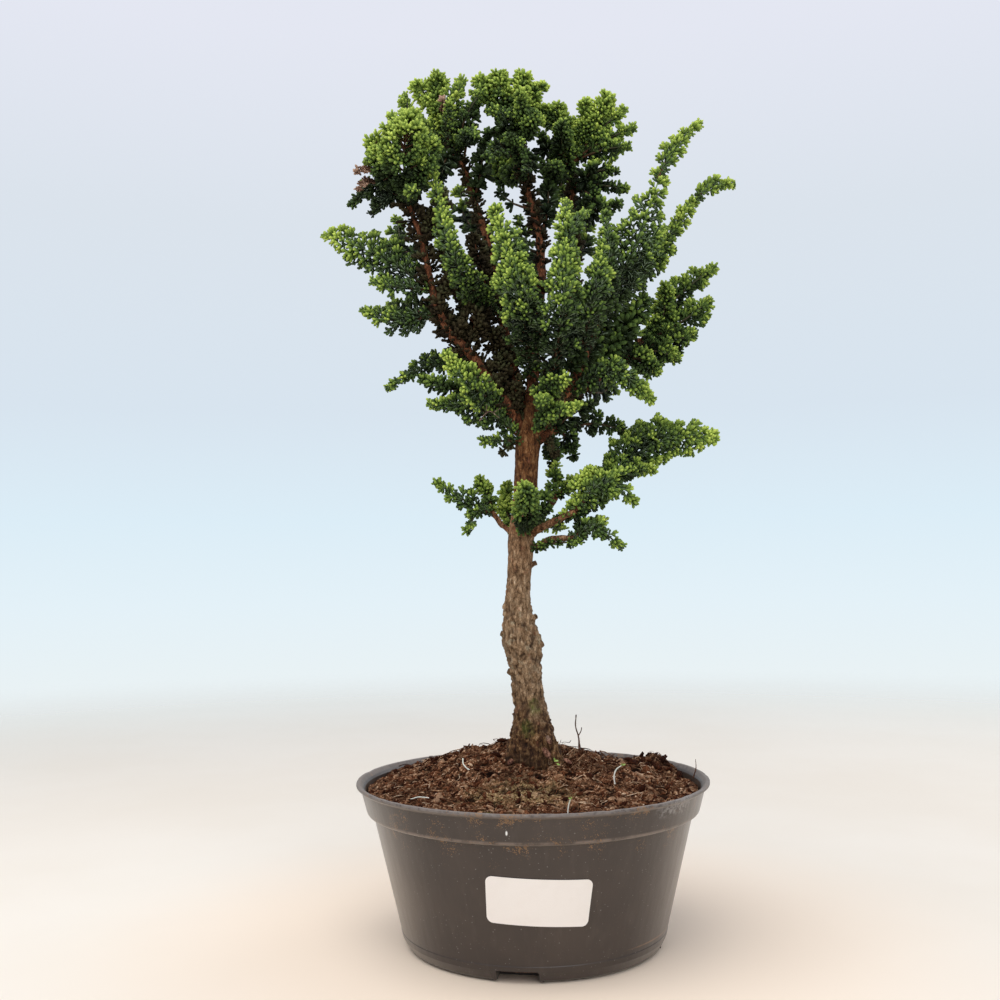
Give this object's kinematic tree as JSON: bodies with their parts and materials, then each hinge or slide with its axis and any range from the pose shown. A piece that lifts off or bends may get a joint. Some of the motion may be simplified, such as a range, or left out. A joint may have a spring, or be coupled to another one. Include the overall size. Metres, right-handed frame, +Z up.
{
  "type": "hinoki cypress bonsai",
  "caption": "Young hinoki cypress bonsai with a curved bare trunk and upswept cushioned sprays, planted in a round tapered nursery bowl.",
  "frame": {"origin": "on the table under the middle of the round bowl", "axes": "+Z up along the trunk, -Y towards the label on the bowl, +X to the right of someone who faces the label"},
  "size_m": [0.2254, 0.18, 0.4687],
  "materials": {
    "bowl": "matte, dusty and lightly scuffed",
    "soil": "crumbly peat, dull",
    "bark": "fibrous, dull",
    "leaf": "waxy scale leaves, satin",
    "old_leaf": "bronzed inner scale leaves, dull",
    "label": "matt paper"
  },
  "bodies": {
    "root": {"bowl": "bowl", "label": "label", "soil": "soil", "spray_beside_leader": "leaf", "spray_bridge": "leaf", "spray_cushions": "leaf", "spray_dome": "leaf", "spray_dome_left": "leaf", "spray_front_plume": "leaf", "spray_front_plume_far": "leaf", "spray_front_plume_right": "leaf", "spray_left_bright": "leaf", "spray_left_droop": "leaf", "spray_left_long": "leaf", "spray_left_low": "leaf", "spray_left_lowest": "leaf", "spray_low_back_spray": "leaf", "spray_low_bright": "leaf", "spray_low_cushion": "leaf", "spray_low_front_spray": "leaf", "spray_low_left_back_spray": "leaf", "spray_low_left_spray": "leaf", "spray_low_rear_spray": "leaf", "spray_lowest_spray": "leaf", "spray_middle_front": "leaf", "spray_old_left": "old_leaf", "spray_rear_left": "leaf", "spray_rear_left_high": "leaf", "spray_rear_left_low": "leaf", "spray_rear_low": "leaf", "spray_rear_low_left": "leaf", "spray_rear_mid_left": "leaf", "spray_rear_mid_left_high": "leaf", "spray_rear_middle": "leaf", "spray_rear_middle_high": "leaf", "spray_rear_right": "leaf", "spray_rear_right_high": "leaf", "spray_rear_right_low": "leaf", "spray_rear_right_side": "leaf", "spray_rear_right_top": "leaf", "spray_rear_top": "leaf", "spray_right_arm": "leaf", "spray_right_big": "leaf", "spray_right_inner": "leaf", "spray_right_second": "leaf", "spray_right_third": "leaf", "spray_right_third_droop": "leaf", "spray_right_third_low": "leaf", "spray_top_left": "leaf", "spray_top_left_back": "leaf", "spray_top_left_inner": "leaf", "spray_top_middle": "leaf", "spray_top_middle_front": "leaf", "spray_top_right": "leaf", "spray_top_right_far": "leaf", "spray_top_right_inner": "leaf", "spray_top_right_low": "leaf", "trunk": "bark"}
  },
  "joints": []
}
